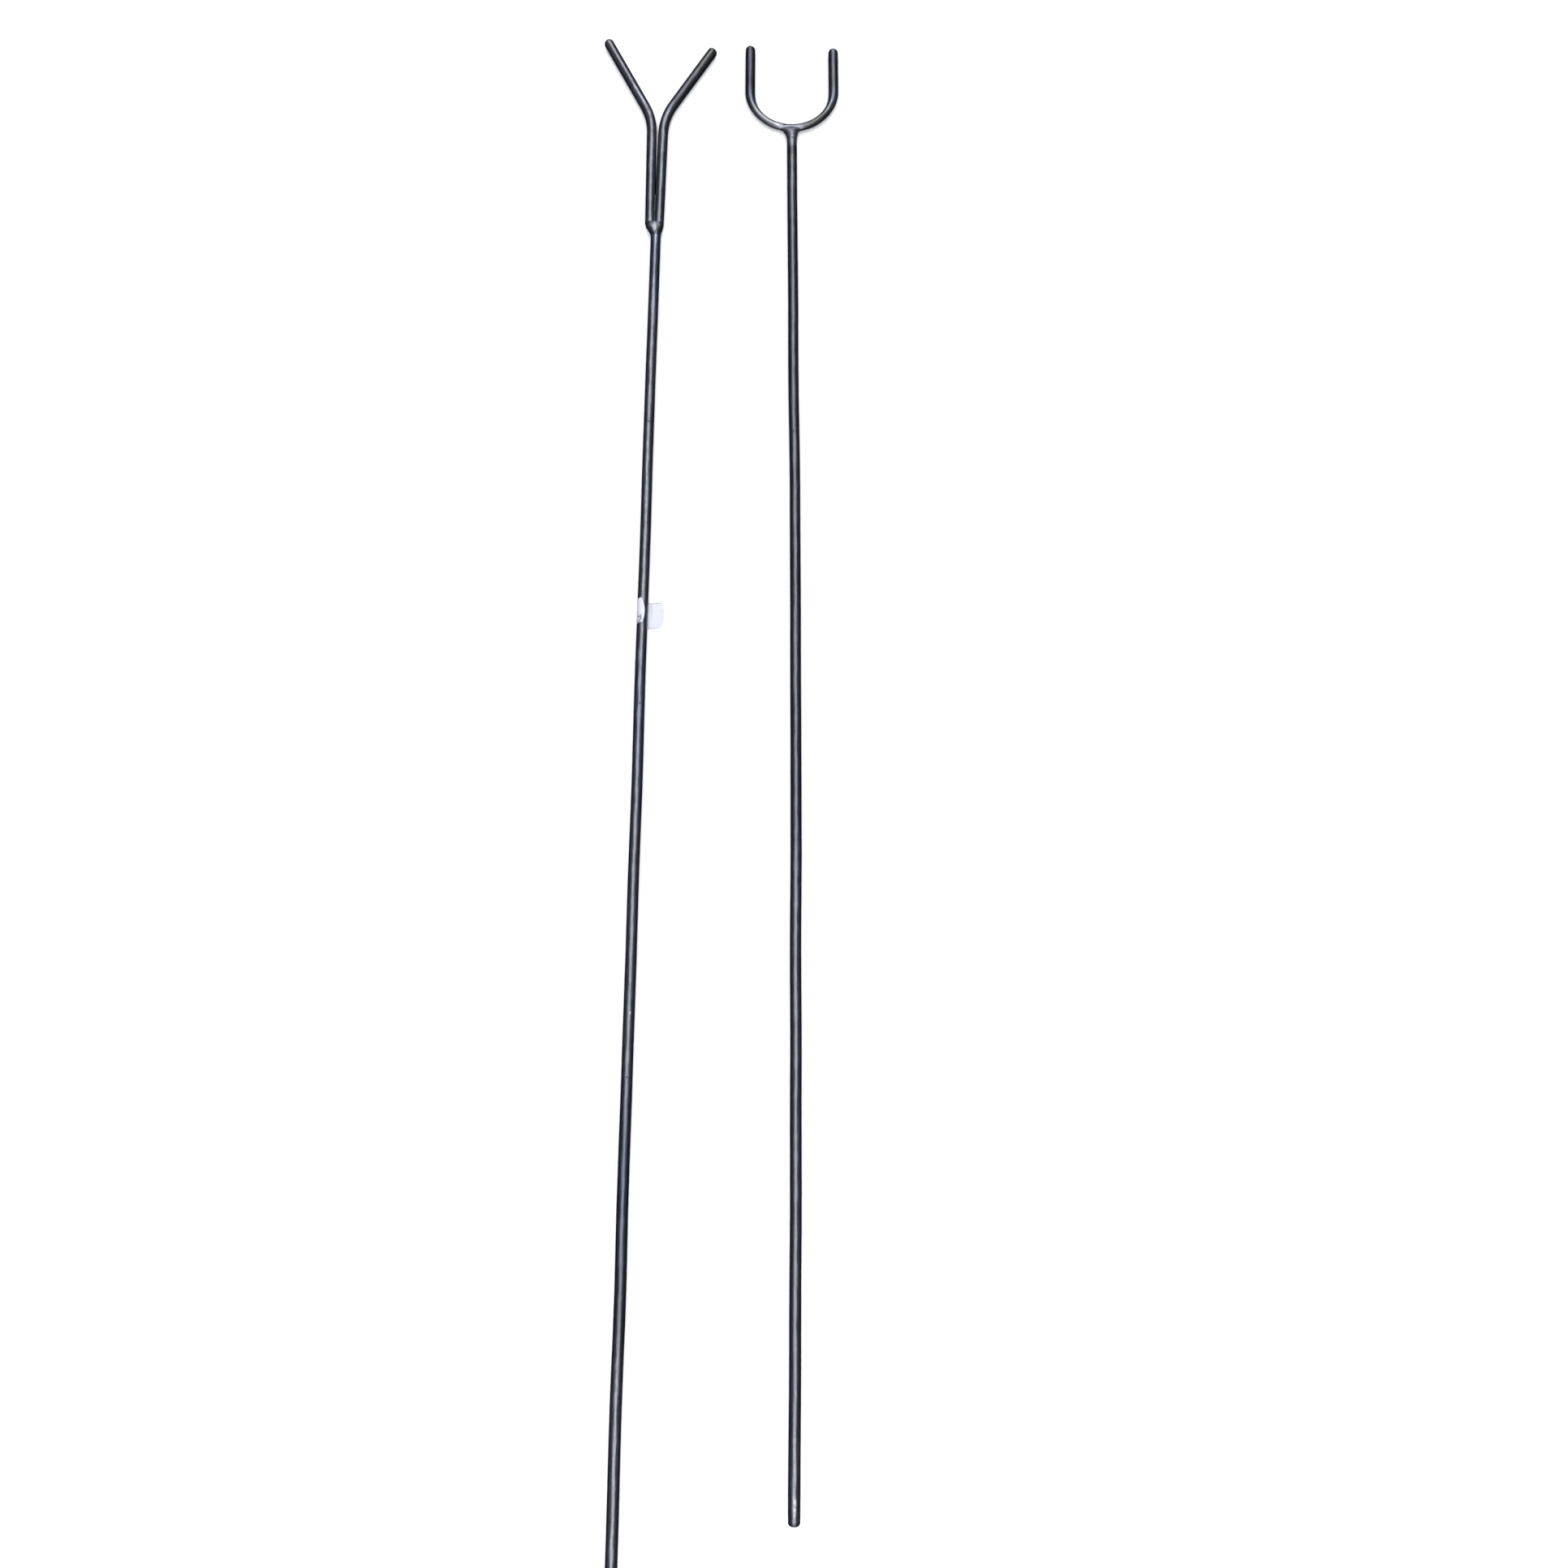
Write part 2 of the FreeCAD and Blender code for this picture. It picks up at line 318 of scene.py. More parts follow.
@dataclass(frozen=True)
class WeldMetal:
    """As-welded steel: dull grey, rippled, with glossy slag specks, blued edges and, where given, a painted
    highlight patch.

    Attributes:
        shift: offset of the pattern.
        specks: share of the surface that carries specks of slag.
        dullness: added roughness.
        painted_highlight: middle of a painted highlight patch, where the weld's sloping face catches the
            light.
    """

    name: str
    shift: tuple
    bright: tuple = (0.150, 0.162, 0.184)
    blued: tuple = (0.085, 0.088, 0.108)
    slag: tuple = (0.014, 0.014, 0.017)
    specks: float = 0.35
    dullness: float = 0.0
    painted_highlight: Vector | None = None
    painted_highlight_size: float = 5.0 * MM
    # Colour of the painted highlight patch.
    highlight_colour: tuple = (0.26, 0.27, 0.295)

    def material(self) -> bpy.types.Material:
        """Build the node material."""
        s = Shading(self.name)
        place = s.placed(s.object_coords(), (1, 1, 1), self.shift)
        cloud = s.noise(place, 140.0, 5.0, 0.6)
        smear = s.noise(s.placed(place, (620, 400, 620)), 1.0, 4.0, 0.6, 0.4)
        grain = s.noise(place, 1700.0, 3.0, 0.6)
        colour = s.blend(s.spread(cloud, 0.40, 0.62), self.bright, self.blued)
        colour = s.blend(s.spread(smear, 0.55, 0.75, 0.0, 0.6), colour, self.blued)
        # Painted highlight: a bright patch blended in where the weld's face catches the light.
        if self.painted_highlight:
            highlight_mask = s.near(s.object_coords(), self.painted_highlight, (0.75, 1.6, 1), self.painted_highlight_size)
            colour = s.blend(highlight_mask, colour, self.highlight_colour)
        drops = s.spread(s.cells(place, 330.0), 0.12, 0.30, 1.0, 0.0)
        bare = 0.66 - 0.2 * self.specks
        field_share = s.spread(s.noise(place, 210.0, 2.0), bare, bare + 0.08)
        specks = s.times(drops, field_share)
        colour = s.blend(specks, colour, self.slag)
        rough = s.spread(smear, 0.3, 0.7, 0.30 + self.dullness, 0.50 + self.dullness)
        normal = s.bumped((s.less(smear, specks), 0.07 * MM, 0.8), (grain, 0.03 * MM, 0.7))
        return s.finished({**BARE_METAL, "Base Color": colour, "Roughness": rough, "Normal": normal})


@dataclass(frozen=True)
class LabelPaper:
    """White coated paper, a little dirty, with worn print left as plain smudges at one end, painted shade
    where the wrap turns away round the bar, and a painted shade line along its edges.
    """

    name: str = "label_paper"
    paper: tuple = (0.55, 0.555, 0.62)
    grey_soil_and_shade: tuple = (0.36, 0.37, 0.40)
    ink: tuple = (0.045, 0.052, 0.062)
    print_from: float = 4.0 * MM
    print_to: float = 14.0 * MM

    def material(self) -> bpy.types.Material:
        """Build the node material, in the label's own flat coordinates (X along its length, Y across)."""
        s = Shading(self.name)
        flat = s.attribute(BAR_COORDS)
        fibre = s.noise(s.placed(flat, (2600, 900, 1)), 1.0, 4.0, 0.6)
        cockle = s.noise(flat, 150.0, 3.0, 0.5)
        dirt = s.noise(flat, 260.0, 5.0, 0.65, 0.8)
        colour = s.blend(s.spread(dirt, 0.52, 0.80, 0.0, 0.45), self.paper, self.grey_soil_and_shade)
        colour = s.blend(s.spread(fibre, 0.4, 0.8, 0.0, 0.12), colour, self.grey_soil_and_shade)
        across = s.part(flat, "Y")
        length = s.part(flat, "X")
        # Painted shade: the wrapped part greys towards the side of the bar that turns away from the light.
        painted_side_shade = s.times(s.spread(length, 6 * MM, 13 * MM), s.spread(length, 16 * MM, 24 * MM, 1.0, 0.0))
        colour = s.blend(s.times(painted_side_shade, s.spread(dirt, 0.35, 0.65, 0.1, 0.75)), colour, self.grey_soil_and_shade)
        begun, over = s.spread(length, 33.5 * MM, 34.5 * MM), s.spread(length, 35.5 * MM, 37.5 * MM, 1.0, 0.0)
        smear = s.times(begun, over)
        colour = s.blend(s.times(smear, s.spread(across, -9 * MM, 2 * MM, 0.0, 0.5)), colour, self.grey_soil_and_shade)
        # Painted shade: a thin grey line along the paper's edges.
        rims = s.spread(s.maths("ABSOLUTE", across), 14.9 * MM, 15.8 * MM)
        edge = s.maths("MAXIMUM", rims, s.spread(length, 49.6 * MM, 50.6 * MM))
        colour = s.blend(s.times(edge, 0.75), colour, self.grey_soil_and_shade)
        low_end = s.spread(across, -4.5 * MM, -7.5 * MM)
        first = s.spread(length, self.print_from, self.print_from + 1.5 * MM)
        last = s.spread(length, self.print_to, self.print_to + 2 * MM, 1.0, 0.0)
        blots = s.spread(s.noise(s.placed(flat, (430, 230, 1)), 1.0, 2.0, 0.6), 0.44, 0.58)
        print_share = s.times(s.times(low_end, blots), s.times(first, last))
        colour = s.blend(s.times(print_share, 0.85), colour, self.ink)
        normal = s.bumped((cockle, 0.25 * MM, 0.6), (fibre, 0.02 * MM, 0.6))
        rough = s.spread(fibre, 0.2, 0.8, 0.42, 0.62)
        return s.finished({"Base Color": colour, "Roughness": rough, "Normal": normal})


@dataclass(frozen=True)
class FloorFinish:
    """Plain pale floor with a barely visible mottle."""

    name: str = "pale_floor"
    pale: tuple = (0.86, 0.86, 0.86)
    tone: tuple = (0.83, 0.83, 0.835)

    def material(self) -> bpy.types.Material:
        """Build the node material."""
        s = Shading(self.name)
        mottle = s.noise(s.object_coords(), 3.0, 5.0)
        colour = s.blend(mottle, self.pale, self.tone)
        rough = s.spread(mottle, 0.3, 0.7, 0.8, 0.9)
        return s.finished({"Base Color": colour, "Roughness": rough, "Specular IOR Level": 0.2})


def linked(name: str, data: bpy.types.ID) -> bpy.types.Object:
    """A new object of the scene with that data."""
    item = bpy.data.objects.new(name, data)
    bpy.context.scene.collection.objects.link(item)
    return item


def swept(bm: Mesh, rim: list, stride: Vector, steps: int, centre: Vector = Vector(),
          turn: float = 0.0) -> list:
    """Sweep a rim of edges onwards.

    Args:
        bm: mesh that it belongs to.
        rim: its edges.
        stride: how far it moves in each step.
        steps: number of steps.
        centre: place that it turns about.
        turn: angle that it turns in all, about Z.

    Returns:
        The edges of the last rim.
    """
    spun = bmesh.ops.spin(bm, geom=rim, cent=centre, axis=UP, dvec=stride, angle=turn, steps=steps,
                          use_merge=False, use_duplicate=False)
    return [item for item in spun["geom_last"] if isinstance(item, bmesh.types.BMEdge)]


def close_ends(bm: Mesh, first: list, last: list) -> None:
    """Cap both open rims and turn the faces outwards."""
    for rim in (first, last):
        bmesh.ops.contextual_create(bm, geom=rim)
    bmesh.ops.recalc_face_normals(bm, faces=bm.faces[:])
    bm.normal_update()


def radial_vector(angle: float) -> Vector:
    """Direction at an angle round a bar that lies along Y, from its right-hand side over its front."""
    return Vector((math.cos(angle), 0.0, math.sin(angle)))


def heading_vector(angle: float) -> Vector:
    """Direction at an angle from +Y towards +X."""
    return Vector((math.sin(angle), math.cos(angle), 0.0))


def right_vector(angle: float) -> Vector:
    """Direction to the right of that heading."""
    return Vector((math.cos(angle), -math.sin(angle), 0.0))


@dataclass(frozen=True)
class Run:
    """One stretch of a bar's centreline: straight where turn is 0, otherwise an arc.

    Attributes:
        turn: angle that the heading turns towards the right over the run.
        heading: heading at its start, from +Y towards +X.
        before: length of the bar before it.
    """

    length: float
    turn: float
    start: Vector
    heading: float
    before: float

    @property
    def radius(self) -> float:
        """Signed bend radius, positive to the right."""
        return self.length / self.turn

    @property
    def centre(self) -> Vector:
        """Centre of the arc."""
        return self.start + right_vector(self.heading) * self.radius

    @property
    def end(self) -> Vector:
        """The run's last point."""
        if not self.turn:
            return self.start + heading_vector(self.heading) * self.length
        return self.centre - right_vector(self.heading + self.turn) * self.radius

    def straighten(self, point: Vector) -> tuple[float, float, float, float]:
        """Place of a point relative to this run.

        Args:
            point: a point near the run.

        Returns:
            How far outside the run the point lies along its length, its distance along the whole bar,
            its offset to the right of the centreline, and the heading there.
        """
        flat = Vector((point.x, point.y, 0.0)) - Vector((self.start.x, self.start.y, 0.0))
        if not self.turn:
            along = flat.dot(heading_vector(self.heading))
            offset = flat.dot(right_vector(self.heading))
        else:
            spoke = flat - right_vector(self.heading) * self.radius
            side = math.copysign(1.0, self.turn)
            ahead = spoke.dot(heading_vector(self.heading))
            across = -side * spoke.dot(right_vector(self.heading))
            along = math.atan2(ahead, across) * abs(self.radius)
            offset = side * (abs(self.radius) - spoke.length)
        outside = max(-along, along - self.length, 0.0)
        return outside, self.before + along, offset, self.heading + self.turn * along / self.length


@dataclass
class RoundBar:
    """A length of round bar along tangent straights and bends, lying flat.

    Attributes:
        heading: heading at its start, from +Y towards +X.
        start_rounding: corner radius of the first end, or 0 for a square cut.
        taper: pairs of distance along the bar and radius there, or empty for a uniform bar.
        flat_side: which side is ground flat, as the sign of X, or 0 for none.
        flat_to: Y up to which it is ground.
        bow: sideways bow at mid-length, towards +X.
        sway: depth of the slight bends along a bowed bar.
        sways: how many of them a metre has.
        wobble: depth of the rolled surface's unevenness.
        wobble_across: its cycles per metre across the bar, as wobble_along is along it.
    """

    name: str
    radius: float
    start: Vector
    heading: float = 0.0
    start_rounding: float = 0.0
    end_rounding: float = 0.0
    taper: tuple = ()
    flat_side: int = 0
    flat_at: float = 0.0
    flat_to: float = 0.0
    bow: float = 0.0
    sway: float = 1.2 * MM
    wobble: float = 0.07 * MM
    wobble_across: float = 90.0
    wobble_along: float = 38.0
    sways: float = 7.0
    sides: int = 44
    step: float = 5.0 * MM
    bend_step: float = 2.2 * MM
    runs: list = field(default_factory=list)

    def straight(self, length: float) -> "RoundBar":
        """Add a straight run."""
        return self._add(length, 0.0)

    def bend(self, radius: float, turn: float) -> "RoundBar":
        """Add a bend of that centreline radius; a positive turn goes to the right."""
        return self._add(radius * abs(turn), turn)

    def _add(self, length: float, turn: float) -> "RoundBar":
        """Add a run that starts where the last one ends."""
        if self.runs:
            last = self.runs[-1]
            start, heading, before = last.end, last.heading + last.turn, last.before + last.length
        else:
            start, heading, before = self.start, self.heading, 0.0
        self.runs.append(Run(length, turn, start, heading, before))
        return self

    @property
    def length(self) -> float:
        """Length of the whole centreline."""
        return self.runs[-1].before + self.runs[-1].length

    def _nearest(self, point: Vector) -> tuple[float, float, float, float]:
        """Place of a point relative to the run that it belongs to."""
        return min((run.straighten(point) for run in self.runs), key=lambda found: found[0] + abs(found[2]))

    def straightened(self, point: Vector) -> Vector:
        """Coordinates of a surface point on the straightened bar: X right, Y along, Z up from its axis."""
        _, along, offset, _ = self._nearest(point)
        return Vector((offset, along, point.z - self.start.z))

    def _radius_at(self, along: float) -> float:
        """Radius of the tapering bar at a distance along it."""
        places, radii = zip(*self.taper)
        return float(np.interp(along, places, radii))

    def _draw_down(self, bm: Mesh) -> None:
        """Scale the section along the bar to follow the taper."""
        for vert in bm.verts:
            _, along, offset, heading = self._nearest(vert.co)
            shrink = self._radius_at(along) / self.radius - 1.0
            vert.co += right_vector(heading) * offset * shrink
            vert.co.z += (vert.co.z - self.start.z) * shrink

    def _grind(self, bm: Mesh) -> None:
        """Grind the leg flat where it meets its twin."""
        for vert in bm.verts:
            past = (vert.co.x - self.flat_at) * self.flat_side
            if past > 0 and vert.co.y < self.flat_to:
                vert.co.x = self.flat_at

    def build(self) -> Mesh:
        """Sweep the section along the runs, close and round the ends, and roughen the surface.

        Returns:
            The bar's mesh, in the marker's own frame.
        """
        bm = bmesh.new()
        turn = Matrix.Rotation(-self.heading, 4, "Z") @ ALONG_Y
        lay = Matrix.Translation(self.start) @ turn
        bmesh.ops.create_circle(bm, segments=self.sides, radius=self.radius, matrix=lay)
        first = ring = bm.edges[:]
        for run in self.runs:
            steps = max(2, round(run.length / (self.bend_step if run.turn else self.step)))
            stride = Vector() if run.turn else heading_vector(run.heading) * (run.length / steps)
            centre = run.centre if run.turn else run.start
            ring = swept(bm, ring, stride, steps, centre, -run.turn)
        bmesh.ops.contextual_create(bm, geom=first)
        bmesh.ops.contextual_create(bm, geom=ring)
        for rim, rounding in ((first, self.start_rounding), (ring, self.end_rounding)):
            if rounding:
                bmesh.ops.bevel(
                    bm, geom=rim, offset=rounding, offset_type="OFFSET", segments=7, profile=0.5,
                    affect="EDGES", material=-1, clamp_overlap=False,
                )
        bmesh.ops.recalc_face_normals(bm, faces=bm.faces[:])
        bm.normal_update()
        self._roughen(bm)
        if self.taper:
            self._draw_down(bm)
        if self.flat_side:
            self._grind(bm)
        return bm

    def _roughen(self, bm: Mesh) -> None:
        """Push the surface in and out a little, and give the bar its bow."""
        across, along = self.wobble_across, self.wobble_along
        for vert in bm.verts:
            place = self.straightened(vert.co)
            seed = Vector((place.x * across, place.y * along + len(self.name), place.z * across))
            vert.co += vert.normal * (noise.noise(seed) * self.wobble)
            if self.bow:
                share = min(max(place.y / self.length, 0.0), 1.0)
                faded = self.sway * min(1.0, 6 * share, 6 * (1 - share))
                sway = noise.noise(Vector((place.y * self.sways, self.bow / MM, 0.5))) * faded
                vert.co.x += self.bow * math.sin(math.pi * share) + sway


@dataclass(frozen=True)
class Station:
    """One cross-section of a weld collar: two half rounds either side of a centre.

    Attributes:
        along: distance up from the top of the stem.
        half_span: half the distance between the two rounds.
        depth: half thickness of the collar, front to back.
    """

    along: float
    centre: float
    half_span: float
    radius: float
    depth: float


@dataclass
class WeldCollar:
    """Weld all round a bar, lofted through stations and then rippled.

    Attributes:
        top: place of the stem's top end.
        ripple: depth of the bead's ripples.
        pitch: distance between two ripples.
        slant: how far a ripple trails at the sides.
        between: sections from one station to the next.
        squareness: how boxy the sections are.
    """

    name: str
    top: Vector
    stations: list
    sides: int = 72
    ripple: float = 0.14 * MM
    pitch: float = 2.4 * MM
    slant: float = 0.35
    lumps: float = 0.28 * MM
    lump_scale: float = 260.0
    grit_scale: float = 640.0
    between: int = 6
    squareness: float = 2.4

    def _sections(self) -> list:
        """The stations and the sections between them, smooth through each station.

        Returns:
            The sections, from the stem up.
        """
        rows = np.array([astuple(station) for station in self.stations])
        rises = np.diff(rows, axis=0) / np.diff(rows[:, :1], axis=0)
        slopes = np.zeros_like(rows)
        for slope, below, above in zip(slopes[1:-1], rises, rises[1:]):
            keeps = below * above > 0
            slope[keeps] = 2 * below[keeps] * above[keeps] / (below[keeps] + above[keeps])
        slopes[:, 0] = 1.0
        found = [self.stations[0]]
        for low, high, leaves, meets in zip(rows, rows[1:], slopes, slopes[1:]):
            for share in (np.arange(self.between) + 1) / self.between:
                eased = share * share * (3 - 2 * share)
                bend = share * (1 - share) * (high[0] - low[0]) * ((1 - share) * leaves - share * meets)
                found.append(Station(*(low * (1 - eased) + high * eased + bend)))
        return found

    def _on(self, section: Station, angle: float) -> Vector:
        """Point of a section at an angle round the collar."""
        swing = math.tanh(self.squareness * math.cos(angle)) / math.tanh(self.squareness)
        x = section.centre + section.half_span * swing + section.radius * math.cos(angle)
        return self.top + Vector((x, section.along, section.depth * math.sin(angle)))

    def build(self) -> Mesh:
        """Sweep a round tube with one ring for each section, shape its rings, and ripple it.

        Returns:
            The weld's mesh, in the marker's own frame.
        """
        bm = bmesh.new()
        bmesh.ops.create_circle(bm, segments=self.sides, radius=1.0)
        first = bm.edges[:]
        sections = self._sections()
        last = swept(bm, first, UP, len(sections) - 1)
        for vert in bm.verts:
            vert.co = self._on(sections[round(vert.co.z)], math.atan2(vert.co.y, vert.co.x))
        close_ends(bm, first, last)
        self._ripple(bm)
        return bm

    def _ripple(self, bm: Mesh) -> None:
        """Add the crescent ripples and uneven lumps of a hand-laid bead."""
        for vert in bm.verts:
            local = vert.co - self.top
            crescent = math.sin(2 * math.pi * (local.y + abs(local.x) * self.slant) / self.pitch)
            lump = noise.noise(local * self.lump_scale) + 0.5 * noise.noise(local * self.grit_scale)
            vert.co += vert.normal * (crescent * self.ripple + lump * self.lumps)


@dataclass
class SeamBead:
    """Thin bead laid in the groove between the two legs of the Y, from the lower end of its axis."""

    name: str
    start: Vector
    length: float
    radius: float
    sides: int = 20
    step: float = 0.5 * MM
    ripple: float = 0.05 * MM
    pitch: float = 2.2 * MM
    slant: float = 0.6
    lumps: float = 0.15 * MM
    lump_scale: float = 420.0
    thinning: float = 0.55

    def build(self) -> Mesh:
        """Sweep the bead and ripple it.

        Returns:
            The bead's mesh, in the marker's own frame.
        """
        bm = bmesh.new()
        lay = Matrix.Translation(self.start) @ ALONG_Y
        bmesh.ops.create_circle(bm, segments=self.sides, radius=self.radius, matrix=lay)
        first = bm.edges[:]
        steps = round(self.length / self.step)
        stride = Vector((0.0, self.length / steps, 0.0))
        close_ends(bm, first, swept(bm, first, stride, steps))
        for vert in bm.verts:
            along = vert.co.y - self.start.y
            fade = 1.0 - self.thinning * max(0.0, along / self.length - 0.6)
            trail = abs(vert.co.x - self.start.x) * self.slant
            crescent = math.sin(2 * math.pi * (along + trail) / self.pitch)
            lump = noise.noise(vert.co * self.lump_scale)
            vert.co += vert.normal * (crescent * self.ripple + lump * self.lumps)
            vert.co.z = self.start.z + (vert.co.z - self.start.z) * fade
        return bm


@dataclass
class PriceLabel:
    """Paper label wrapped round a bar, with its free end standing out like a flag.

    Attributes:
        overhang: how far the flag stands out past the bar's side.
        leaves_at: angle round the bar, from its right-hand side, where the flag leaves.
        climb: how much higher up the bar the stuck end sits than the flag.
        trimmed: how much shorter the flag is than the sheet's full length.
        corner_cut: how far the stuck end's corners lie behind its middle.
        corner_twist: how much more of that the upper corner has than the lower one.
        lift: how far the stuck end has peeled off the bar, over a length of peel.
    """

    name: str
    centre: Vector
    bar_radius: float
    length: float = 51.0 * MM
    width: float = 32.0 * MM
    thickness: float = 0.22 * MM
    overhang: float = 19.5 * MM
    leaves_at: float = math.radians(280)
    climb: float = 5.0 * MM
    flag_drop: float = 1.3 * MM
    trimmed: float = 1.3 * MM
    stuck_from: float = 1.6 * MM
    corner_cut: float = 3.0 * MM
    corner_twist: float = 0.9 * MM
    low_corner: float = 6.5 * MM
    high_corner: float = 3.6 * MM
    low_lean: float = 1.6 * MM
    lift: float = 1.3 * MM
    peel: float = 7.0 * MM
    glue: float = 0.08 * MM
    wave: float = 0.35 * MM
    sag: float = 0.8 * MM
    columns: int = 76
    rows: int = 44

    @property
    def flag(self) -> float:
        """Length of the flag along the paper."""
        run = self.bar_radius + self.overhang - self.bar_radius * math.cos(self.leaves_at)
        return run / -math.sin(self.leaves_at)

    def _ends(self, across: float) -> tuple[float, float]:
        """Where the paper starts and ends along its length, at a distance up from its middle line."""
        rise = 2 * across / self.width
        start = self.stuck_from + self.corner_cut * rise * rise + self.corner_twist * rise
        corner = self.high_corner if rise > 0 else self.low_corner
        reach = max(0.0, corner - (self.width / 2 - abs(across)))
        rounding = corner - math.sqrt(max(0.0, corner ** 2 - reach ** 2))
        lean = self.low_lean * max(0.0, -rise) ** 2
        return start, self.length - self.trimmed - rounding - lean

    def _wrapped(self, along: float, across: float) -> Vector:
        """Place of a point of the flat label once it is stuck on.

        Args:
            along: distance from the stuck end, along the paper.
            across: distance from its middle line, up the bar.

        Returns:
            The point, relative to the label's centre.
        """
        wrap = self.length - self.flag
        radius = self.bar_radius + self.glue
        height = across + self.climb * max(0.0, 1 - along / wrap) - self.flag_drop
        rise = 2 * across / self.width
        if along > wrap:
            free = along - wrap
            share = free / self.flag
            leaving = radial_vector(self.leaves_at)
            ahead = radial_vector(self.leaves_at + math.pi / 2)
            wave = self.wave * math.sin(share * 7.5 + rise * 0.8) * share
            drop = self.sag * (share * rise * rise - share * share * 0.6)
            point = leaving * radius + ahead * free + UP * (wave + drop)
        else:
            angle = self.leaves_at - (wrap - along) / radius
            loose = max(0.0, 1.0 - along / self.peel) ** 2
            point = radial_vector(angle) * (radius + self.lift * loose * (1 - 0.55 * rise * rise))
        point.y = height
        return point

    def build(self) -> tuple[Mesh, list]:
        """Cut the label from a flat grid and wrap it.

        Returns:
            The label's mesh in the marker's own frame, and its flat coordinates for the print.
        """
        bm = bmesh.new()
        bmesh.ops.create_grid(bm, x_segments=self.columns, y_segments=self.rows, size=0.5)
        coords = []
        for vert in bm.verts:
            across = vert.co.y * self.width
            start, end = self._ends(across)
            along = start + (end - start) * (vert.co.x + 0.5)
            coords.append(Vector((along, across, 0.0)))
            vert.co = self.centre + self._wrapped(along, across)
        bmesh.ops.recalc_face_normals(bm, faces=bm.faces[:])
        return bm, coords


@dataclass
class Marker:
    """What both markers share: bar stock with rounded ends, and how their pieces are dressed and placed.

    Attributes:
        body: CAD body that its pieces ride on.
        stem_bow: sideways bow of the stem at mid-length.
        weld_run: length of stem that the head's weld covers.
        place: the marker's placement.
    """

    body: str
    stem_bow: float
    weld_run: float
    foot_rounding: float = 4.0 * MM
    tip_rounding: float = 4.5 * MM
    place: Matrix = field(default_factory=lambda: Matrix.Identity(4))

    def dress(self, name: str, bm: Mesh, coords: list, material: bpy.types.Material, slot: str,
              node: str) -> bpy.types.Object:
        """Turn a bmesh into a finished piece.

        Args:
            name: piece name.
            bm: its mesh in the marker's own frame; it is freed.
            coords: pattern coordinates, one vector for each vertex, or an empty list.
            material: its finish.
            slot: material slot name; not used.
            node: CAD node that it stands for.

        Returns:
            The piece's object.
        """
        mesh = bpy.data.meshes.new(name)
        bm.to_mesh(mesh)
        bm.free()
        if coords:
            layer = mesh.attributes.new(BAR_COORDS, "FLOAT_VECTOR", "POINT")
            layer.data.foreach_set("vector", [value for vector in coords for value in vector])
        mesh.transform(self.place)
        mesh.shade_smooth()
        mesh.materials.append(material)
        piece = linked(name, mesh)
        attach(piece, self.body)
        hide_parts(node)
        log.info("%s: %d faces on %s", name, len(mesh.polygons), self.body)
        return piece

    def add_bar(self, bar: RoundBar, finish: MillScale, node: str) -> None:
        """Build and dress one bar."""
        bm = bar.build()
        coords = [bar.straightened(vert.co) for vert in bm.verts]
        self.dress(bar.name, bm, coords, finish.material(), "bar_steel", node)

    def add_stem(self, foot: Vector, finish: MillScale, node: str) -> None:
        """Build the stem, whose top ends inside the weld."""
        bar = RoundBar(node + "_bar", self.radius, foot, start_rounding=self.foot_rounding, bow=self.stem_bow)
        bar.straight(self.stem_length - self.weld_run * BARE_SHARE)
        self.add_bar(bar, finish, node)

    def add_weld(self, bead: WeldCollar | SeamBead, finish: WeldMetal, node: str) -> None:
        """Build and dress one weld."""
        self.dress(bead.name, bead.build(), [], finish.material(), "weld_steel", node)


